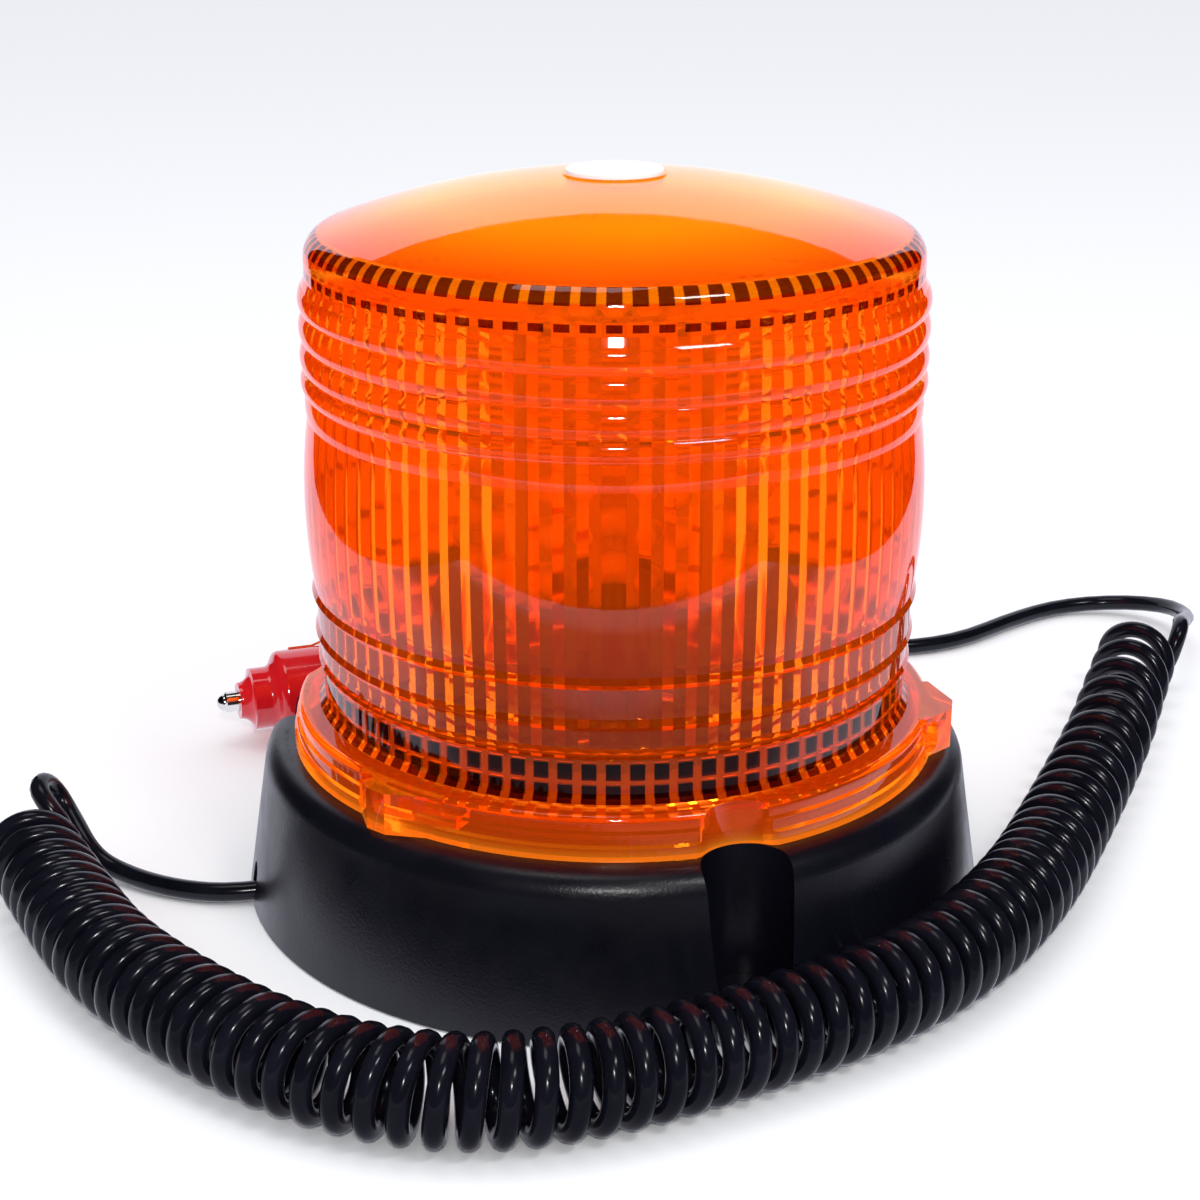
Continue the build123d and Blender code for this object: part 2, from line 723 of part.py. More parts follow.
with BuildPart() as inductor:
    with BuildSketch(Plane.XY.offset(board_top)):
        with Locations((0, -10.0)):
            Circle(5.5)
    extrude(amount=7.0)
    with BuildSketch(Plane.XY.offset(board_top + 1.4)):
        with Locations((0, -10.0)):
            Circle(6.0)
            Circle(4.4, mode=Mode.SUBTRACT)
    extrude(amount=4.2, mode=Mode.SUBTRACT)
write(inductor.part, "inductor")

with BuildPart() as regulator:
    with BuildSketch(Plane.XY.offset(board_top)):
        with Locations((-8.5, -3.5)):
            Rectangle(9.0, 4.4)
    extrude(amount=9.0)
    with BuildSketch(Plane.XY.offset(board_top)):
        with Locations((-8.5, -3.5 + 2.2 - 0.65)):
            Rectangle(9.0, 1.3)
    extrude(amount=14.0)
write(regulator.part, "regulator")

with BuildPart() as control_chip:
    with BuildSketch(Plane.XY.offset(board_top)):
        with Locations((9.5, -3.5)):
            Rectangle(5.0, 4.0)
    extrude(amount=1.6)
    chamfer(control_chip.faces().sort_by(Axis.Z)[-1].edges(), 0.3)
write(control_chip.part, "control_chip")

with BuildPart() as driver_cover:
    with BuildSketch(Plane.XY.offset(chassis_top)):
        Circle(cover_radius)
    extrude(amount=cover_top - chassis_top)
    fillet(driver_cover.faces().sort_by(Axis.Z)[-1].edges(), 1.2)
    with BuildSketch(Plane.XY.offset(chassis_top)):
        Circle(cover_flange_radius)
        with PolarLocations(cover_screw_circle, 3, polar(keeper_azimuth)):
            Circle(board_screw_radius + slip_gap, mode=Mode.SUBTRACT)
    extrude(amount=cover_flange_thickness)
    with BuildSketch(Plane.XY.offset(chassis_top)):
        Circle(cover_radius - cover_wall)
    extrude(amount=cover_top - cover_wall - chassis_top, mode=Mode.SUBTRACT)
    with BuildSketch(Plane.XY.offset(cover_top)):
        Circle(tower_bolt_radius + slip_gap)
    extrude(amount=-cover_wall, mode=Mode.SUBTRACT)
    for index in range(cover_slot_count):
        turn = (index + 0.5) * 360 / cover_slot_count
        with BuildSketch(facing_out(cover_radius + 1, turn, cover_top - 12.0)):
            SlotOverall(13.0, 2.4, rotation=90)
        extrude(amount=-(cover_wall + 2), mode=Mode.SUBTRACT)
write(driver_cover.part, "driver_cover")

cover_screw = screw(board_screw_radius, cover_flange_thickness + chassis_thickness - 0.3,
                    small_head_radius, small_head_height)
with BuildPart() as cover_screws:
    with PolarLocations(cover_screw_circle, 3, polar(keeper_azimuth)):
        add(cover_screw.translate((0, 0, chassis_top + cover_flange_thickness)))
write(cover_screws.part, "cover_screws")

# --- Light tower ---------------------------------------------------------------------
with BuildPart() as led_core:
    with BuildSketch(Plane.XY.offset(core_bottom)):
        RegularPolygon(core_flats / 2, 6, major_radius=False)
        Circle(tower_bolt_radius + slip_gap, mode=Mode.SUBTRACT)
    extrude(amount=core_height)
write(led_core.part, "led_core")

with BuildPart() as led_boards:
    for face in range(6):
        with BuildSketch(facing_out(core_flats / 2, face * 60, core_bottom + core_height / 2)):
            Rectangle(side_board_width, side_board_height)
        extrude(amount=board_thickness)
write(led_boards.part, "led_boards")

# One lamp: a thin flange, a straight barrel and a domed end.
with BuildPart() as led:
    with BuildSketch(Plane.XZ):
        with BuildLine():
            Polyline(
                (0, led_height),
                (0, 0),
                (led_radius + 0.3, 0),
                (led_radius + 0.3, led_flange),
                (led_radius, led_flange),
                (led_radius, led_height - led_radius),
            )
            RadiusArc((led_radius, led_height - led_radius), (0, led_height), -led_radius)
        make_face()
    revolve(axis=Axis.Z)

side_led_places = []
for face in range(6):
    for row in range(led_rows):
        height = core_bottom + core_height / 2 + (row - (led_rows - 1) / 2) * led_row_pitch
        middle = facing_out(side_led_radius, face * 60, height)
        for side in (-0.5, 0.5):
            origin = middle.origin + middle.x_dir * (side * led_column_pitch)
            side_led_places.append(Location(Plane(origin, middle.x_dir, middle.z_dir)))
side_leds = Compound(children=[led.part.moved(place) for place in side_led_places])
write(side_leds, "side_leds")

with BuildPart() as top_board:
    with BuildSketch(Plane.XY.offset(core_top)):
        Circle(top_board_radius)
        Circle(tower_bolt_radius + slip_gap, mode=Mode.SUBTRACT)
    extrude(amount=board_thickness)
write(top_board.part, "top_board")

with BuildPart() as top_leds:
    with PolarLocations(top_led_circle, top_led_count):
        add(led.part.translate((0, 0, top_board_top)))
write(top_leds.part, "top_leds")

bolt_length = top_board_top - cover_top + cover_wall + tower_nut_height + 1.5
tower_bolt = screw(tower_bolt_radius, bolt_length, tower_head_radius, tower_head_height)
write(tower_bolt.translate((0, 0, top_board_top)), "tower_bolt")

with BuildPart() as tower_nut:
    with BuildSketch(Plane.XY.offset(cover_top - cover_wall)):
        RegularPolygon(tower_nut_flats / 2, 6, major_radius=False)
        Circle(tower_bolt_radius + slip_gap, mode=Mode.SUBTRACT)
    extrude(amount=-tower_nut_height)
write(tower_nut.part, "tower_nut")

# --- Cord inside the base ------------------------------------------------------------
exit_height = cord_radius + 0.4
clamp_plane = facing_out(clamp_distance, notch_azimuth, clamp_height)


def inside(radius, height, aside=0.0):
    """A point in the vertical plane through the notch, moved aside along the rim."""
    point = at_azimuth(radius, notch_azimuth, height) + clamp_plane.x_dir * aside
    return (point.X, point.Y, point.Z)


cord_start = base_radius - base_wall + 0.5
cord_inner_end = clamp_distance - 7
cord_inner = tube(
    [
        inside(cord_start, exit_height),
        inside(62.5, exit_height),
        inside(62.5, 13.0),
        inside(55.0, clamp_height),
        inside(cord_inner_end, clamp_height),
    ],
    cord_radius,
    "cord_inner",
)
write(cord_inner, "cord_inner")

for name, side in (("wire_positive", 1), ("wire_negative", -1)):
    wire = tube(
        [
            inside(cord_inner_end, clamp_height, side * wire_start),
            inside(30.0, clamp_height, side * wire_start),
            inside(18.0, clamp_height - 1.0, side * wire_spread),
            inside(9.0, clamp_height + 1.0, side * wire_spread),
            inside(3.0, clamp_height + 6.0, side * wire_spread),
            inside(3.0, board_height - block_height, side * wire_spread),
        ],
        wire_radius,
        name,
    )
    write(wire, name)

saddle_plane = Plane(clamp_plane.origin, clamp_plane.x_dir, clamp_plane.z_dir)
with BuildPart() as cord_clamp:
    with BuildSketch(saddle_plane.offset(-clamp_width / 2)):
        with Locations((0, -clamp_thickness / 2)):
            Rectangle(clamp_length, 2 * cord_radius + clamp_thickness)
        with Locations((0, cord_radius)):
            Rectangle(2 * (cord_radius + slip_gap), 4 * cord_radius, mode=Mode.SUBTRACT)
        Circle(cord_radius + slip_gap, mode=Mode.SUBTRACT)
    extrude(amount=clamp_width)
    with BuildSketch(Plane(clamp_seat.origin, clamp_seat.x_dir, (0, 0, 1))):
        with Locations((clamp_screw_spread, 0), (-clamp_screw_spread, 0)):
            Circle(clamp_screw_radius + slip_gap)
    extrude(amount=-(2 * cord_radius + clamp_thickness), mode=Mode.SUBTRACT)
write(cord_clamp.part, "cord_clamp")

clamp_bottom = clamp_height - cord_radius - clamp_thickness
clamp_screw = screw(clamp_screw_radius, 2 * cord_radius + clamp_thickness + 5.0,
                    small_head_radius, small_head_height).rotate(Axis.X, 180)
with BuildPart() as clamp_screws:
    for side in (-1, 1):
        foot = inside(clamp_distance, clamp_bottom, side * clamp_screw_spread)
        add(clamp_screw.translate(foot))
write(clamp_screws.part, "clamp_screws")

# --- Plug ----------------------------------------------------------------------------
# Distances along the plug are measured from the end of its contact pin at rest.
plug_way = Vector(math.cos(math.radians(plug_turn)), math.sin(math.radians(plug_turn)), 0)
plug_origin = Vector(plug_tip_x, plug_tip_y, plug_lift)
plug_axis = Axis(plug_origin, plug_way)
plug_profile = Plane(plug_origin, x_dir=(0, 0, 1), z_dir=Vector(0, 0, 1).cross(plug_way))
plug_plane = Plane(plug_origin, x_dir=(0, 0, 1), z_dir=plug_way)
nose_start = tip_length
nose_end = nose_start + nose_length
barrel_end = nose_end + barrel_length
boot_end = barrel_end + boot_length
nose_face = nose_start + nose_wall + 1.2  # inside of the nose's front wall
flange_thickness = 1.5
spigot_start = nose_end - thread_length
pin_rear = nose_face + 0.1 + flange_thickness
fuse_start = pin_rear + 0.05
fuse_end = fuse_start + fuse_length
fuse_bore = fuse_radius + seat_gap
spring_start = fuse_end + 0.1
spring_length = 7.0
seat_face = spring_start + spring_length + 0.1
chamber_start = seat_face + 2.0
strip_inner_face = plug_radius + strip_flat_proud - strip_thickness
strip_floor = strip_inner_face - strip_travel - seat_gap
strip_end = strip_start + strip_length
plug_screw_seat_point = plug_origin + plug_way * plug_screw_distance + Vector(0, 0, plug_screw_seat)

with BuildPart() as plug_tip:
    with BuildSketch(plug_profile):
        with BuildLine():
            ThreePointArc((0, 0), (1.3, 0.5), (1.9, 1.7))
            Polyline(
                (1.9, 1.7),
                (tip_radius, 2.1),
                (tip_radius, nose_face + 0.1),
                (tip_radius + 1.5, nose_face + 0.1),
                (tip_radius + 1.5, pin_rear),
                (0, pin_rear),
                (0, 0),
            )
        make_face()
    revolve(axis=plug_axis)
write(plug_tip.part, "plug_tip")

with BuildPart() as plug_nose:
    with BuildSketch(plug_profile):
        with BuildLine():
            Line((tip_radius + slip_gap, nose_start), (nose_radius - 3.0, nose_start))
            RadiusArc((nose_radius - 3.0, nose_start), (nose_radius, nose_start + 3.0), 3.0)
            Line((nose_radius, nose_start + 3.0), (nose_radius, nose_start + nose_straight))
            Spline(
                (nose_radius, nose_start + nose_straight),
                (plug_radius, nose_end - 1.5),
                tangents=[(0, 1), (0, 1)],
            )
            Polyline(
                (plug_radius, nose_end - 1.5),
                (plug_radius, nose_end),
                (thread_radius + slip_gap, nose_end),
                (thread_radius + slip_gap, spigot_start - 0.1),
                (tip_radius + 1.8, spigot_start - 0.1),
                (tip_radius + 1.8, nose_face),
                (tip_radius + slip_gap, nose_face),
                (tip_radius + slip_gap, nose_start),
            )
        make_face()
    revolve(axis=plug_axis)
write(plug_nose.part, "plug_nose")

with BuildPart() as plug_fuse:
    with BuildSketch(plug_plane.offset(fuse_start)):
        Circle(fuse_radius)
    extrude(amount=fuse_length)
    with BuildSketch(plug_plane.offset(fuse_start + fuse_cap_length)):
        Circle(fuse_radius)
        Circle(fuse_radius - 0.2, mode=Mode.SUBTRACT)
    extrude(amount=fuse_length - 2 * fuse_cap_length, mode=Mode.SUBTRACT)
write(plug_fuse.part, "plug_fuse")

with BuildPart() as tip_spring:
    with BuildLine():
        winding = Helix(
            pitch=(spring_length - 2 * spring_wire) / spring_turns,
            height=spring_length - 2 * spring_wire,
            radius=spring_radius,
            center=plug_origin + plug_way * (spring_start + spring_wire),
            direction=plug_way,
        )
    with BuildSketch(Plane(winding @ 0, z_dir=winding % 0)):
        Circle(spring_wire)
    sweep(path=winding, is_frenet=True)
write(tip_spring.part, "tip_spring")

# The whole barrel, then its two halves.
with BuildPart() as barrel:
    with BuildSketch(plug_profile):
        with BuildLine():
            Polyline(
                (0, spigot_start),
                (thread_radius, spigot_start),
                (thread_radius, nose_end),
                (plug_radius, nose_end),
                (plug_radius, barrel_end - 12.0),
            )
            Spline(
                (plug_radius, barrel_end - 12.0),
                (barrel_rear_radius, barrel_end - 1.0),
                tangents=[(0, 1), (-0.25, 1)],
            )
            Polyline(
                (barrel_rear_radius, barrel_end - 1.0),
                (barrel_rear_radius - 1.0, barrel_end),
                (0, barrel_end),
                (0, spigot_start),
            )
        make_face()
    revolve(axis=plug_axis)
    with BuildSketch(plug_plane.offset(spigot_start)):
        Circle(fuse_bore)
    extrude(amount=seat_face - spigot_start, mode=Mode.SUBTRACT)
    with BuildSketch(plug_plane.offset(chamber_start)):
        Circle(barrel_rear_radius - barrel_wall)
    extrude(amount=barrel_end - barrel_wall - chamber_start, mode=Mode.SUBTRACT)
    with BuildSketch(plug_plane.offset(barrel_end)):
        Circle(boot_radius + slip_gap)
    extrude(amount=-barrel_wall, mode=Mode.SUBTRACT)
    # A post for the screw crosses the wiring chamber.
    with BuildSketch(Plane(plug_origin + plug_way * plug_screw_distance, plug_way, (0, 0, 1))):
        Circle(plug_screw_radius + 1.3)
    extrude(amount=barrel_rear_radius - 1.0, both=True)
    with BuildSketch(Plane(plug_origin + plug_way * plug_screw_distance, plug_way, (0, 0, 1))):
        Circle(plug_screw_radius + slip_gap)
    extrude(amount=plug_radius + 1, mode=Mode.SUBTRACT)
    with BuildSketch(Plane(plug_origin + plug_way * plug_screw_distance, plug_way, (0, 0, 1))):
        Circle(plug_screw_radius + slip_gap)
    extrude(amount=-(plug_screw_length - plug_screw_seat + 1), mode=Mode.SUBTRACT)
    with BuildSketch(Plane(plug_screw_seat_point, plug_way, (0, 0, 1))):
        Circle(small_head_radius + seat_gap)
    extrude(amount=plug_radius, mode=Mode.SUBTRACT)
    # Slots for the two sprung strips.
    for roll in (-strip_roll, 180 - strip_roll):
        with BuildSketch(plug_plane.offset(strip_start - 2 * seat_gap)):
            with Locations(Rotation(0, 0, roll)):
                with Locations((strip_floor + strip_slot_depth / 2, 0)):
                    Rectangle(strip_slot_depth, strip_width + 2 * seat_gap)
        extrude(amount=strip_length + 4 * seat_gap, mode=Mode.SUBTRACT)

barrel_split = Plane(plug_origin, x_dir=plug_way, z_dir=(0, 0, 1))
with BuildPart() as plug_body_upper:
    add(barrel.part)
    split(bisect_by=barrel_split, keep=Keep.TOP)
write(plug_body_upper.part, "plug_body_upper")

with BuildPart() as plug_body_lower:
    add(barrel.part)
    split(bisect_by=barrel_split, keep=Keep.BOTTOM)
write(plug_body_lower.part, "plug_body_lower")

plug_screw = screw(plug_screw_radius, plug_screw_length, small_head_radius, small_head_height)
write(plug_screw.translate(plug_screw_seat_point), "plug_screw")

# Each strip is a shallow bow with flat ends in its slot.
bow_start = strip_start + strip_front
bow_end = strip_end - strip_rear
bow_middle = (bow_start + bow_end) / 2
bow_face = plug_radius + strip_proud - strip_thickness
for name, roll in (("side_contact_upper", -strip_roll), ("side_contact_lower", 180 - strip_roll)):
    outward = plug_plane.x_dir.rotate(Axis((0, 0, 0), plug_way), roll)
    strip_plane = Plane(plug_origin, x_dir=outward, z_dir=outward.cross(plug_way))
    with BuildPart() as strip:
        with BuildSketch(strip_plane):
            with BuildLine():
                Line((strip_inner_face, strip_start), (strip_inner_face, bow_start))
                ThreePointArc(
                    (strip_inner_face, bow_start),
                    (bow_face, bow_middle),
                    (strip_inner_face, bow_end),
                )
                Polyline(
                    (strip_inner_face, bow_end),
                    (strip_inner_face, strip_end),
                    (strip_inner_face + strip_thickness, strip_end),
                    (strip_inner_face + strip_thickness, bow_end),
                )
                ThreePointArc(
                    (strip_inner_face + strip_thickness, bow_end),
                    (bow_face + strip_thickness, bow_middle),
                    (strip_inner_face + strip_thickness, bow_start),
                )
                Polyline(
                    (strip_inner_face + strip_thickness, bow_start),
                    (strip_inner_face + strip_thickness, strip_start),
                    (strip_inner_face, strip_start),
                )
            make_face()
        extrude(amount=strip_width / 2, both=True)
    write(strip.part, name)

with BuildPart() as plug_boot:
    with BuildSketch(plug_profile):
        with BuildLine():
            Polyline(
                (0, barrel_end - barrel_wall - 1.5),
                (boot_radius + 1.2, barrel_end - barrel_wall - 1.5),
                (boot_radius + 1.2, barrel_end - barrel_wall - 0.1),
                (boot_radius, barrel_end - barrel_wall - 0.1),
                (boot_radius, barrel_end + 3.0),
                (boot_tip_radius, boot_end - 1.0),
                (boot_tip_radius - 0.6, boot_end),
                (0, boot_end),
                (0, barrel_end - barrel_wall - 1.5),
            )
        make_face()
    revolve(axis=plug_axis)
write(plug_boot.part, "plug_boot")

# --- Free cord -----------------------------------------------------------------------
# Points of the coil's axis on the floor, from the end at the right rear round the front
# to the end at the left.
coil_route = [
    (131, 100),
    (121, 72),
    (111.5, 44),
    (96, 6),
    (79.5, -31.5),
    (61, -58.5),
    (37, -78.5),
    (-13, -105),
    (-50, -98),
    (-87, -66),
    (-104.5, -38),
    (-118.8, -10.5),
]
coil_points = [(x, y, coil_lift) for x, y in coil_route]
cord_coil = tube(coil_points, coil_radius, "cord_coil")
write(cord_coil, "cord_coil")


def leave_coil(end, before, aside, up, distance):
    """A point straight out of the coil's end, off its axis by a sideways and upward part."""
    way = (Vector(*end) - Vector(*before)).normalized()
    across = Vector(way.Y, -way.X, 0)
    point = Vector(*end) + across * aside + Vector(0, 0, up) + way * distance
    return (point.X, point.Y, point.Z)


base_end = coil_points[-1]
base_before = coil_points[-2]
lead_base_points = [
    inside(cord_start, exit_height),
    inside(79.0, exit_height),
    (-84.7, -17.7, 2.2),
    (-92, -14.9, 2.2),
    (-98.5, -11.0, 2.3),
    (-104, -8.2, 3.6),
    leave_coil(base_end, base_before, 12.0, -3.4, -1.6),
    leave_coil(base_end, base_before, 11.2, -0.6, 3.2),
    leave_coil(base_end, base_before, 10.7, 1.0, 7.0),
    leave_coil(base_end, base_before, 9.2, 5.0, 9.8),
    leave_coil(base_end, base_before, 6.4, 8.8, 8.2),
    leave_coil(base_end, base_before, 4.0, 8.8, 3.8),
    leave_coil(base_end, base_before, 3.8, 6.3, 0),
]
cord_lead_base = tube(lead_base_points, cord_radius, "cord_lead_base")
write(cord_lead_base, "cord_lead_base")

plug_end = coil_points[0]
plug_before = coil_points[1]
plug_rear = plug_origin + plug_way * boot_end
approach_run = 11.5
plug_approach = plug_origin + plug_way * (boot_end + approach_run)
lead_plug_points = [
    leave_coil(plug_end, plug_before, lead_offset, 0, 0),
    leave_coil(plug_end, plug_before, lead_offset, 0, 13),
    (149.5, 125, 8.5),
    (148.5, 141, 6.0),
    (137, 151, 3.5),
    (121, 151, 2.2),
    (106, 141, 2.2),
    (91, 127, 2.2),
    (75, 119.5, 2.2),
    (60, 120, 2.2),
    (46, 117, 2.4),
    (33, 110.5, 3.8),
    (22, 103.5, 6.6),
    (12, 98, 9.4),
    (plug_approach.X, plug_approach.Y, plug_approach.Z),
    (plug_rear.X, plug_rear.Y, plug_rear.Z),
]
cord_lead_plug = tube(lead_plug_points, cord_radius, "cord_lead_plug")
write(cord_lead_plug, "cord_lead_plug")
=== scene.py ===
import json
import math

import bpy
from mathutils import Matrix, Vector


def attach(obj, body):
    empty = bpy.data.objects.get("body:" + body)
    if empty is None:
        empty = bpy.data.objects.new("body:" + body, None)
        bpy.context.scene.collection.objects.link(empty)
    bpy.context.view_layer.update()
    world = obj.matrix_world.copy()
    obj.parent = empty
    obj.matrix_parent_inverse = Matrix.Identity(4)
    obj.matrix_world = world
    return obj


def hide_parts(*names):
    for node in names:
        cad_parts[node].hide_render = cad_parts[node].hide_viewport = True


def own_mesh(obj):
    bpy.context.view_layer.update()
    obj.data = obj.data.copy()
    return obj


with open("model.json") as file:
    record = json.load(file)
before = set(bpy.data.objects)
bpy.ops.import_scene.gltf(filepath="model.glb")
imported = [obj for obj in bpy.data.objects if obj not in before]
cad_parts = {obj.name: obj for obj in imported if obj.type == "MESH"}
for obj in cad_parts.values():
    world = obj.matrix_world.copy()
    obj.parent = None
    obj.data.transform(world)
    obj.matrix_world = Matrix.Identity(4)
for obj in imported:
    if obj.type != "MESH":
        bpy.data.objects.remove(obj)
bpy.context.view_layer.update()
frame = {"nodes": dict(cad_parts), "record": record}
nodes = frame["nodes"]
scene = bpy.context.scene
MM = 0.001

# --- Shader helpers ------------------------------------------------------------------


def node(tree, kind, **values):
    made = tree.nodes.new(kind)
    for key, value in values.items():
        setattr(made, key, value)
    return made


def maths(tree, operation, *values):
    made = node(tree, "ShaderNodeMath", operation=operation)
    for socket, value in zip(made.inputs, values):
        if isinstance(value, (int, float)):
            socket.default_value = value
        else:
            tree.links.new(value, socket)
    return made.outputs[0]


def ramp(tree, value, stops, low, high):
    """A value from low to high, turned into colours by stops of (value, colour)."""
    span = node(tree, "ShaderNodeMapRange")
    span.inputs["From Min"].default_value = low
    span.inputs["From Max"].default_value = high
    tree.links.new(value, span.inputs["Value"])
    made = node(tree, "ShaderNodeValToRGB")
    tree.links.new(span.outputs["Result"], made.inputs["Fac"])
    elements = made.color_ramp.elements
    while len(elements) < len(stops):
        elements.new(0.5)
    for element, (at, colour) in zip(elements, stops):
        element.position = (at - low) / (high - low)
        element.color = (*colour, 1.0)
    return made.outputs["Color"]


def object_axes(tree):
    """The x, y and z of a point of the surface, on the piece itself."""
    made = node(tree, "ShaderNodeSeparateXYZ")
    tree.links.new(node(tree, "ShaderNodeTexCoord").outputs["Object"], made.inputs[0])
    return made.outputs


# --- Camera --------------------------------------------------------------------------
camera_data = bpy.data.cameras.new("camera")
camera_data.lens = 65.9
camera_data.sensor_width = 36.0
camera_data.clip_start = 0.01
camera = bpy.data.objects.new("camera", camera_data)
camera.location = (0.0, -0.4113, 0.2059)
camera.rotation_euler = (math.radians(70.21), 0.0, math.radians(0.38))
scene.collection.objects.link(camera)
scene.camera = camera
scene.view_settings.view_transform = "Standard"

# --- Cord: sizes and route, as in the model, in millimetres --------------------------
cord_radius = 2.0
coil_radius = 9.7
coil_lift = 9.8
notch_azimuth = math.radians(-76.0)
exit_height = 2.4
cord_start = 72.0
notch_end = 79.0
helix_radius = coil_radius - cord_radius
points_per_turn = 16
chord_pull = 1.4  # larger puts the turns' control points nearer to the helix's own radius
# Where the turns begin, at the base end, and where they end, at the plug end.
first_angle = math.radians(48.0)
last_angle = math.radians(254.0)
guide_steps = 40
coil_route = (
    (131, 100), (121, 72), (111.5, 44), (96, 6), (79.5, -31.5), (61, -58.5),
    (37, -78.5), (-13, -105), (-50, -98), (-87, -66), (-104.5, -38), (-118.8, -10.5),
)
# Distance along the coil from its plug end, and the distance from turn to turn there.
coil_pitches = (
    (0, 12.5), (40, 12.5), (65, 10.4), (85, 8.6), (105, 7.0), (118, 6.4),
    (128, 5.2), (380, 5.1), (395, 7.6), (409, 8.5),
)


def facing_out(distance, height):
    """A point at the cord's notch, that far from the beacon's axis."""
    x = distance * math.sin(notch_azimuth)
    y = -distance * math.cos(notch_azimuth)
    return (x, y, height)


def leave_coil(end, before, aside, up, distance):
    """A point beside an end of the coil's axis, measured across it, upwards and along it."""
    end = Vector((*end, coil_lift))
    way = (end - Vector((*before, coil_lift))).normalized()
    across = Vector((way.y, -way.x, 0.0))
    return tuple(end + across * aside + Vector((0, 0, up)) + way * distance)


def base_hook(aside, up, distance):
    return leave_coil(coil_route[-1], coil_route[-2], aside, up, distance)


def plug_hook(aside, up, distance):
    return leave_coil(coil_route[0], coil_route[1], aside, up, distance)


lead_base = [
    facing_out(cord_start, exit_height),
    facing_out(notch_end, exit_height),
    (-84.7, -17.7, 2.2),
    (-92, -14.9, 2.2),
    (-98.5, -11.0, 2.3),
    (-104, -8.2, 3.6),
    base_hook(12.0, -3.4, -1.6),
    base_hook(11.2, -0.6, 3.2),
    base_hook(10.7, 1.0, 7.0),
    base_hook(9.2, 5.0, 9.8),
    base_hook(6.4, 8.8, 8.2),
    base_hook(4.0, 8.8, 3.8),
]
plug_tip = Vector((-92.0, 59.6, 10.7))
plug_turn = math.radians(20.0)
plug_way = Vector((math.cos(plug_turn), math.sin(plug_turn), 0.0))
boot_end = 88.0
approach_run = 11.5
lead_plug = [
    plug_hook(8.7, 3.2, 1.4),
    plug_hook(9.0, 5.4, 5.2),
    plug_hook(8.0, 3.6, 12.0),
    (149.5, 125, 8.5),
    (148.5, 141, 6.0),
    (137, 151, 3.5),
    (121, 151, 2.2),
    (106, 140, 2.2),
    (91, 125, 2.2),
    (75, 118.5, 2.2),
    (60, 120, 2.2),
    (46, 117, 2.4),
    (33, 110.5, 3.8),
    (22, 103.5, 6.6),
    (12, 98, 9.4),
    tuple(plug_tip + plug_way * (boot_end + approach_run)),
    tuple(plug_tip + plug_way * boot_end),
]


def nurbs(name, points, thickness=0.0, sides=4, steps=4):
    """A curve of one open NURBS spline with those control points, in millimetres.

    The tube's radius is set at the points, because Blender adds it to the curve's box.
    """
    curve = bpy.data.curves.new(name, "CURVE")
    curve.dimensions = "3D"
    curve.resolution_u = steps
    curve.bevel_depth = 1.0 if thickness > 0 else 0.0
    curve.bevel_resolution = sides
    curve.use_fill_caps = thickness > 0
    spline = curve.splines.new("NURBS")
    spline.points.add(len(points) - 1)
    for control, point in zip(spline.points, points):
        control.co = (point[0] * MM, point[1] * MM, point[2] * MM, 1.0)
        control.radius = thickness * MM
    spline.order_u = 3
    spline.use_endpoint_u = True
    piece = bpy.data.objects.new(name, curve)
    scene.collection.objects.link(piece)
    return piece


def traced(points):
    """The points that a route's NURBS spline passes through, in millimetres."""
    guide = nurbs("guide", points, steps=guide_steps)
    bpy.context.view_layer.update()
    mesh = bpy.data.meshes.new_from_object(guide)
    line = [v.co / MM for v in mesh.vertices]
    bpy.data.meshes.remove(mesh)
    bpy.data.objects.remove(guide)
    return line


def coil_pitch(distance):
    """Distance from turn to turn, that far along the coil from its plug end."""
    for (start, pitch), (stop, following) in zip(coil_pitches, coil_pitches[1:]):
        if distance <= stop:
            return pitch + (following - pitch) * (distance - start) / (stop - start)
    return coil_pitches[-1][1]


def helix(line):
    """Control points of the turns, from the base end to the plug end, round the coil's axis."""
    runs = [(b - a).length for a, b in zip(line, line[1:])]
    total = sum(runs)
    turns = 0.0
    stations = [0.0]
    gone = 0.0
    for run in runs:
        turns += run / coil_pitch(total - gone - run / 2)
        gone += run
        stations.append(turns)
    whole = round(turns - (last_angle - first_angle) / (2 * math.pi))
    wanted = whole + (last_angle - first_angle) / (2 * math.pi)
    stations = [s * wanted / turns for s in stations]
    count = round(wanted * points_per_turn)
    reach = helix_radius / math.cos(math.pi / points_per_turn / chord_pull)
    result = []
    index = 0
    for k in range(count + 1):
        turn = wanted * k / count
        while index < len(stations) - 2 and stations[index + 1] < turn:
            index += 1
        share = (turn - stations[index]) / (stations[index + 1] - stations[index])
        centre = line[index].lerp(line[index + 1], share)
        way = (line[index + 1] - line[index]).normalized()
        right = Vector((way.y, -way.x, 0.0))
        angle = first_angle + 2 * math.pi * turn
        # Left-handed: from the top to the left side of the way, down, and up on the right.
        offset = Vector((0, 0, 1)) * math.cos(angle) - right * math.sin(angle)
        result.append(tuple(centre + offset * reach))
    return result


axis_line = traced([(x, y, coil_lift) for x, y in reversed(coil_route)])
turns = helix(axis_line)

# The spring behind the fuse shortens along the pin as the pin is pressed in; here it becomes a piece of
# its own, with a mesh of its own.
spring = bpy.data.objects.new("contact_spring", nodes["tip_spring"].data.copy())
scene.collection.objects.link(spring)
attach(spring, "beacon")
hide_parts("tip_spring")
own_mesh(spring)

cord = nurbs("curly_cord", lead_base + turns + lead_plug, cord_radius, sides=4, steps=3)
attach(cord, "beacon")
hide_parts("cord_lead_base", "cord_coil", "cord_lead_plug")

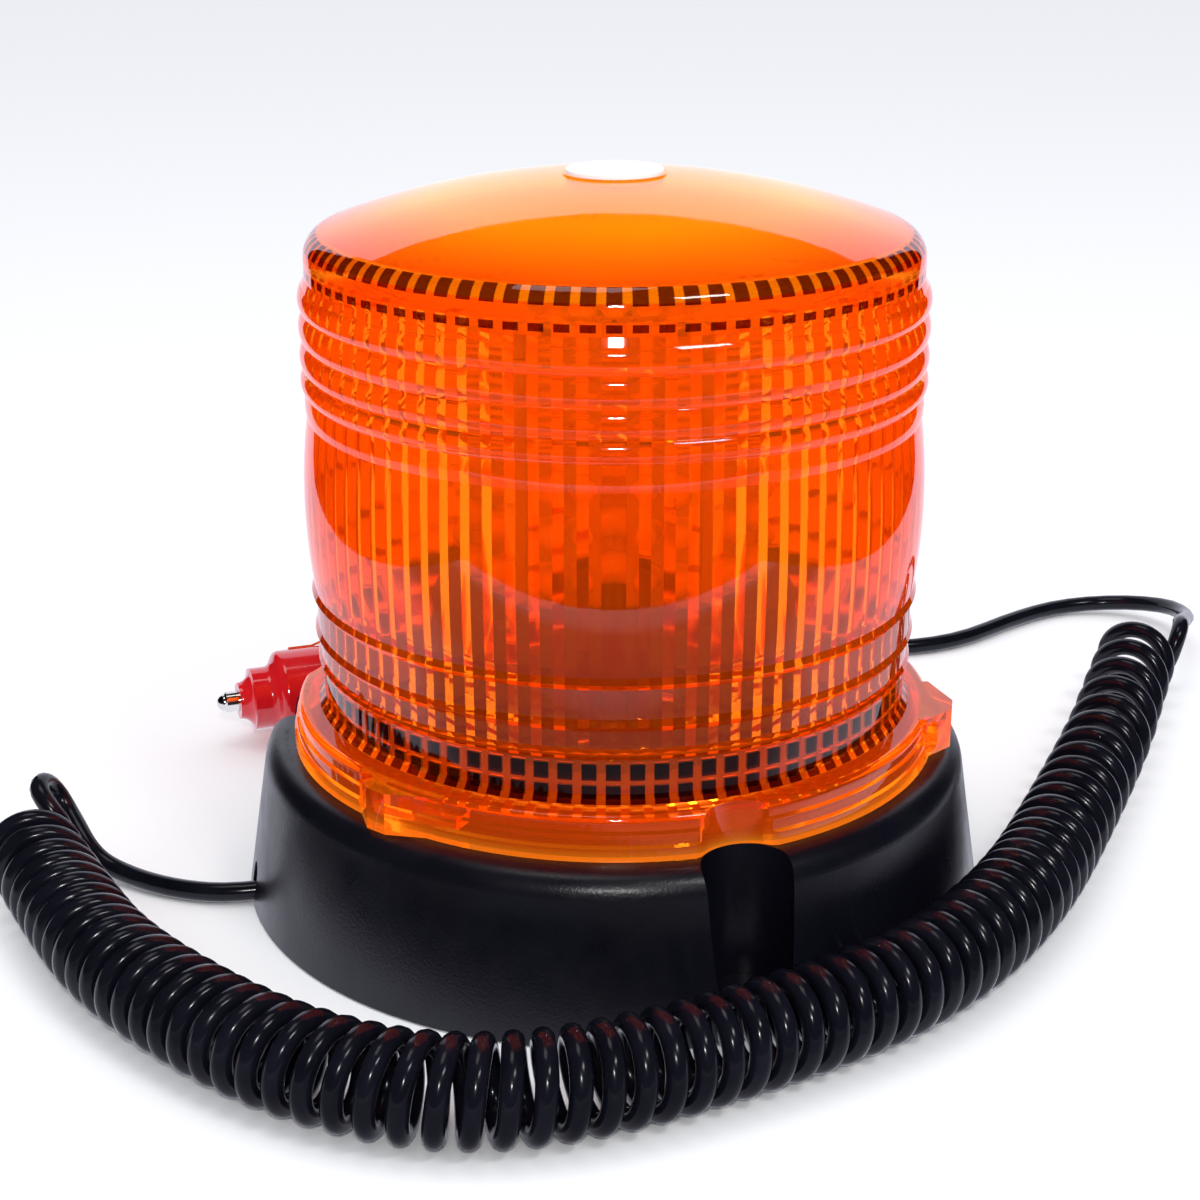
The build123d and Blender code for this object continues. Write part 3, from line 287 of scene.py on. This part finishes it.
# --- Studio: floor, paper that the gloss reflects, world and lights -------------------
def grid(name, corners, faces):
    mesh = bpy.data.meshes.new(name)
    mesh.from_pydata(corners, [], faces)
    mesh.update()
    piece = bpy.data.objects.new(name, mesh)
    scene.collection.objects.link(piece)
    return piece


def matte(name, colour):
    material = bpy.data.materials.new(name)
    material.use_nodes = True
    shader = material.node_tree.nodes["Principled BSDF"]
    shader.inputs["Base Color"].default_value = (*colour, 1.0)
    shader.inputs["Roughness"].default_value = 0.9
    shader.inputs["Specular IOR Level"].default_value = 0.1
    return material


floor_half = 6.0
floor = grid(
    "floor",
    [(-floor_half, -floor_half, 0), (floor_half, -floor_half, 0),
     (floor_half, floor_half, 0), (-floor_half, floor_half, 0)],
    [(0, 1, 2, 3)],
)
floor.data.materials.append(matte("floor_white", (0.875, 0.88, 0.89)))
floor.visible_glossy = False

# The paper curves up behind the beacon, in metres, and shows only in reflections.
paper_half = 0.27
paper_front = -0.235
paper_back = 0.22
paper_bend = 0.12
paper_top = 0.36
paper_steps = 16
paper_lift = 0.0005
profile = [(paper_front, paper_lift), (paper_back, paper_lift)]
for step in range(1, paper_steps + 1):
    turn = math.pi / 2 * step / paper_steps
    bend_y = paper_back + paper_bend * math.sin(turn)
    bend_z = paper_lift + paper_bend * (1 - math.cos(turn))
    profile.append((bend_y, bend_z))
profile.append((paper_back + paper_bend, paper_top))
paper = grid(
    "paper",
    [(side * paper_half, y, z) for y, z in profile for side in (-1, 1)],
    [(2 * k, 2 * k + 1, 2 * k + 3, 2 * k + 2) for k in range(len(profile) - 1)],
)
glow = matte("paper_glow", (0.0, 0.0, 0.0))
paper_tone = (0.92, 0.93, 1.08, 1.0)
glow.node_tree.nodes["Principled BSDF"].inputs["Emission Color"].default_value = paper_tone
# Painted shade: the paper's glow is dimmed just in front of the beacon, where the beacon and the cord
# shade it.
# Stops are (distance along Y, brightness).
painted_shade_stops = ((-0.235, 1.0), (-0.205, 0.85), (-0.188, 0.25), (-0.11, 0.2), (-0.07, 1.0), (0.34, 1.0))
glow_tree = glow.node_tree
painted_shade = ramp(
    glow_tree, object_axes(glow_tree)["Y"], [(y, (share,) * 3) for y, share in painted_shade_stops],
    painted_shade_stops[0][0], painted_shade_stops[-1][0],
)
glow_tree.links.new(painted_shade, glow_tree.nodes["Principled BSDF"].inputs["Emission Strength"])
paper.data.materials.append(glow)
paper.visible_camera = False
paper.visible_diffuse = False
paper.visible_transmission = False
paper.visible_shadow = False

world = bpy.data.worlds.new("studio")
world.use_nodes = True
world.node_tree.nodes["Background"].inputs["Color"].default_value = (0.95, 0.965, 1.0, 1.0)
world.node_tree.nodes["Background"].inputs["Strength"].default_value = 1.03
world.cycles_visibility.glossy = False
scene.world = world


def softbox(name, place, target, width, height, power, colour=(1, 1, 1)):
    data = bpy.data.lights.new(name, "AREA")
    data.shape = "RECTANGLE"
    data.size = width
    data.size_y = height
    data.energy = power
    data.color = colour
    lamp = bpy.data.objects.new(name, data)
    lamp.location = place
    lamp.rotation_euler = (Vector(target) - Vector(place)).to_track_quat("-Z", "Y").to_euler()
    scene.collection.objects.link(lamp)
    return lamp


softbox("flash", (0.006, -0.52, 0.34), (0, 0, 0.07), 0.045, 0.03, 1.0)
softbox("window", (0.45, -0.55, 0.95), (0, 0, 0.05), 0.30, 0.12, 2.6)
softbox("ceiling", (-0.15, 0.05, 1.3), (0, 0, 0), 0.5, 0.5, 1.8)

# --- Materials -----------------------------------------------------------------------


def noise(tree, coordinates, scale, detail=3.0):
    made = node(tree, "ShaderNodeTexNoise")
    made.inputs["Scale"].default_value = scale
    made.inputs["Detail"].default_value = detail
    tree.links.new(coordinates, made.inputs["Vector"])
    return made.outputs["Fac"]


def spread(tree, value, low, high):
    made = node(tree, "ShaderNodeMapRange")
    made.inputs["From Min"].default_value = 0.3
    made.inputs["From Max"].default_value = 0.7
    made.inputs["To Min"].default_value = low
    made.inputs["To Max"].default_value = high
    tree.links.new(value, made.inputs["Value"])
    return made.outputs["Result"]


def finish(
    name, dark, light, rough, metallic=0.0, patch=60.0, grain=1500.0, depth=0.04,
    grain_height=0.00003, coat=0.0, specular=0.5, ior=1.5, transmission=0.0,
):
    """A moulded or metal surface: two mixed tones, uneven gloss and a fine grain."""
    material = bpy.data.materials.new(name)
    material.use_nodes = True
    tree = material.node_tree
    shader = tree.nodes["Principled BSDF"]
    place = node(tree, "ShaderNodeTexCoord").outputs["Object"]
    blend = node(tree, "ShaderNodeMix", data_type="RGBA")
    blend.inputs["A"].default_value = (*dark, 1.0)
    blend.inputs["B"].default_value = (*light, 1.0)
    tree.links.new(spread(tree, noise(tree, place, patch), 0.0, 1.0), blend.inputs["Factor"])
    tree.links.new(blend.outputs["Result"], shader.inputs["Base Color"])
    gloss = spread(tree, noise(tree, place, patch * 2.3, 4.0), rough[0], rough[1])
    tree.links.new(gloss, shader.inputs["Roughness"])
    if depth > 0:
        bump = node(tree, "ShaderNodeBump")
        bump.inputs["Strength"].default_value = depth
        bump.inputs["Distance"].default_value = grain_height
        tree.links.new(noise(tree, place, grain, 2.0), bump.inputs["Height"])
        tree.links.new(bump.outputs["Normal"], shader.inputs["Normal"])
    shader.inputs["Metallic"].default_value = metallic
    shader.inputs["Coat Weight"].default_value = coat
    shader.inputs["Coat Roughness"].default_value = 0.05
    shader.inputs["Specular IOR Level"].default_value = specular
    shader.inputs["IOR"].default_value = ior
    shader.inputs["Transmission Weight"].default_value = transmission
    return material


amber = finish(
    "amber_lens", (0.91, 0.215, 0.005), (0.93, 0.262, 0.009), (0.02, 0.06), patch=35.0,
    grain=260.0, depth=0.05, grain_height=0.0002, ior=1.49, transmission=0.95,
)
# Painted light: the lens glows at this strength, though it is no lamp.
amber_painted_glow = 0.24
amber.node_tree.nodes["Principled BSDF"].inputs["Emission Strength"].default_value = amber_painted_glow

# Painted shade: between the flutes, the thin window cells are painted dark for the dark inside seen
# through them.
# Rows are (lowest, highest, least radius), in mm.
flute_count = 84
window_rows = ((40.6, 43.7, 50.0), (44.7, 47.8, 50.0), (129.6, 132.4, 55.0), (125.2, 126.6, 56.0))
window_share = 0.62
window_shade_tone = (0.05, 0.003, 0.0005, 1.0)


def paint_window_shade(material):
    """Paints shade into the cells of the window rows, one for each flute: a dark base colour and no
    glow.
    """
    tree = material.node_tree
    shader = tree.nodes["Principled BSDF"]
    x, y, z = object_axes(tree)
    azimuth = maths(tree, "ARCTAN2", x, maths(tree, "MULTIPLY", y, -1.0))
    turn = maths(tree, "MULTIPLY_ADD", azimuth, flute_count / (2 * math.pi), 0.5)
    aside = maths(tree, "ABSOLUTE", maths(tree, "SUBTRACT", maths(tree, "FRACT", turn), 0.5))
    inside = maths(tree, "LESS_THAN", aside, window_share / 2)
    squares = [maths(tree, "POWER", axis, 2.0) for axis in (x, y)]
    radius = maths(tree, "POWER", maths(tree, "ADD", *squares), 0.5)
    rows = 0.0
    for low, high, inner in window_rows:
        row = maths(tree, "COMPARE", z, (low + high) / 2 * MM, (high - low) / 2 * MM)
        outside = maths(tree, "GREATER_THAN", radius, inner * MM)
        rows = maths(tree, "ADD", rows, maths(tree, "MULTIPLY", row, outside))
    shaded_cells = maths(tree, "MULTIPLY", inside, rows)
    for socket, tone in (("Base Color", window_shade_tone), ("Emission Color", (0.0, 0.0, 0.0, 1.0))):
        shade = node(tree, "ShaderNodeMix", data_type="RGBA")
        tree.links.new(shader.inputs[socket].links[0].from_socket, shade.inputs["A"])
        shade.inputs["B"].default_value = tone
        tree.links.new(shaded_cells, shade.inputs["Factor"])
        tree.links.new(shade.outputs["Result"], shader.inputs[socket])


def paint_glow(material):
    """Painted light: an emission glow by height for the light that the amber plastic carries, red in
    the walls, with painted yellow highlights in the crown and the skirt.
    """
    tree = material.node_tree
    shader = tree.nodes["Principled BSDF"]
    stops = [(height * MM, tone) for height, tone in painted_glow_stops]
    tones = ramp(tree, object_axes(tree)["Z"], stops, 0.0, painted_glow_span * MM)
    tree.links.new(tones, shader.inputs["Emission Color"])


# Heights in mm up the lens, each with the tone of its painted glow; the yellow tones at the skirt and
# the crown are painted highlights.
painted_glow_span = 160.0
painted_glow_stops = (
    (30.5, (1.0, 0.50, 0.04)), (34.0, (0.7, 0.08, 0.005)), (40.0, (0.45, 0.02, 0.0)),
    (52.0, (0.25, 0.006, 0.0)), (66.0, (0.35, 0.012, 0.0)), (100.0, (0.50, 0.035, 0.0)),
    (132.5, (0.35, 0.03, 0.0)), (138.5, (1.0, 0.68, 0.005)), (143.0, (0.75, 0.38, 0.03)),
)
paint_glow(amber)
paint_window_shade(amber)

finishes = {
    "amber_lens": amber,
    "base_black": finish(
        "base_black", (0.0022, 0.0022, 0.0055), (0.0040, 0.0040, 0.0085), (0.26, 0.36),
        grain=1800.0, depth=0.5, grain_height=0.00008, specular=0.4,
    ),
    "rubber": finish("rubber", (0.008, 0.008, 0.008), (0.016, 0.016, 0.017), (0.7, 0.9), depth=0.4),
    "magnet": finish("magnet", (0.03, 0.03, 0.032), (0.06, 0.06, 0.062), (0.5, 0.7), depth=0.3),
    "zinc": finish("zinc", (0.55, 0.56, 0.58), (0.70, 0.71, 0.72), (0.22, 0.40), metallic=1.0),
    "chassis_grey": finish("chassis_grey", (0.20, 0.20, 0.21), (0.26, 0.26, 0.27), (0.4, 0.55)),
    "disc_white": finish("disc_white", (0.80, 0.82, 0.86), (0.90, 0.91, 0.93), (0.25, 0.4)),
    "board_green": finish("board_green", (0.01, 0.10, 0.03), (0.02, 0.14, 0.05), (0.3, 0.4)),
    "board_white": finish("board_white", (0.62, 0.62, 0.58), (0.72, 0.72, 0.68), (0.3, 0.45)),
    "terminal": finish("terminal", (0.01, 0.16, 0.05), (0.02, 0.22, 0.08), (0.4, 0.55)),
    "capacitor": finish("capacitor", (0.01, 0.01, 0.03), (0.03, 0.03, 0.06), (0.25, 0.4)),
    "ferrite": finish("ferrite", (0.02, 0.02, 0.02), (0.05, 0.05, 0.05), (0.6, 0.8), depth=0.4),
    "chip_black": finish("chip_black", (0.01, 0.01, 0.01), (0.03, 0.03, 0.03), (0.5, 0.6)),
    "cover_black": finish("cover_black", (0.010, 0.010, 0.011), (0.02, 0.02, 0.022), (0.4, 0.55)),
    "aluminium": finish("aluminium", (0.60, 0.60, 0.60), (0.75, 0.75, 0.76), (0.3, 0.5), metallic=1.0),
    "led_clear": finish("led_clear", (0.80, 0.72, 0.30), (0.90, 0.84, 0.45), (0.08, 0.2), coat=0.5),
    "cord_black": finish(
        "cord_black", (0.003, 0.003, 0.006), (0.006, 0.006, 0.011), (0.13, 0.22),
        patch=120.0, grain=900.0, depth=0.15, specular=0.25,
    ),
    "wire_red": finish("wire_red", (0.45, 0.01, 0.01), (0.55, 0.02, 0.02), (0.3, 0.4)),
    "wire_black": finish("wire_black", (0.008, 0.008, 0.008), (0.015, 0.015, 0.015), (0.3, 0.4)),
    "nickel": finish("nickel", (0.72, 0.68, 0.60), (0.82, 0.80, 0.75), (0.08, 0.2), metallic=1.0),
    "plug_red": finish(
        "plug_red", (0.55, 0.004, 0.008), (0.66, 0.010, 0.014), (0.10, 0.2), depth=0.1, coat=0.6,
    ),
    "fuse_glass": finish("fuse_glass", (0.8, 0.85, 0.85), (0.9, 0.95, 0.95), (0.03, 0.08)),
    "spring_steel": finish(
        "spring_steel", (0.50, 0.50, 0.50), (0.65, 0.65, 0.66), (0.2, 0.35), metallic=1.0,
    ),
    "boot_red": finish("boot_red", (0.45, 0.004, 0.008), (0.55, 0.01, 0.012), (0.3, 0.45), depth=0.2),
}
slot_of = {s["node"]: s["material_slot"] for s in frame["record"]["subparts"]}
for name, piece in nodes.items():
    piece.data.materials.clear()
    piece.data.materials.append(finishes[slot_of[name]])
cord.data.materials.append(finishes["cord_black"])
spring.data.materials.clear()
spring.data.materials.append(finishes["spring_steel"])
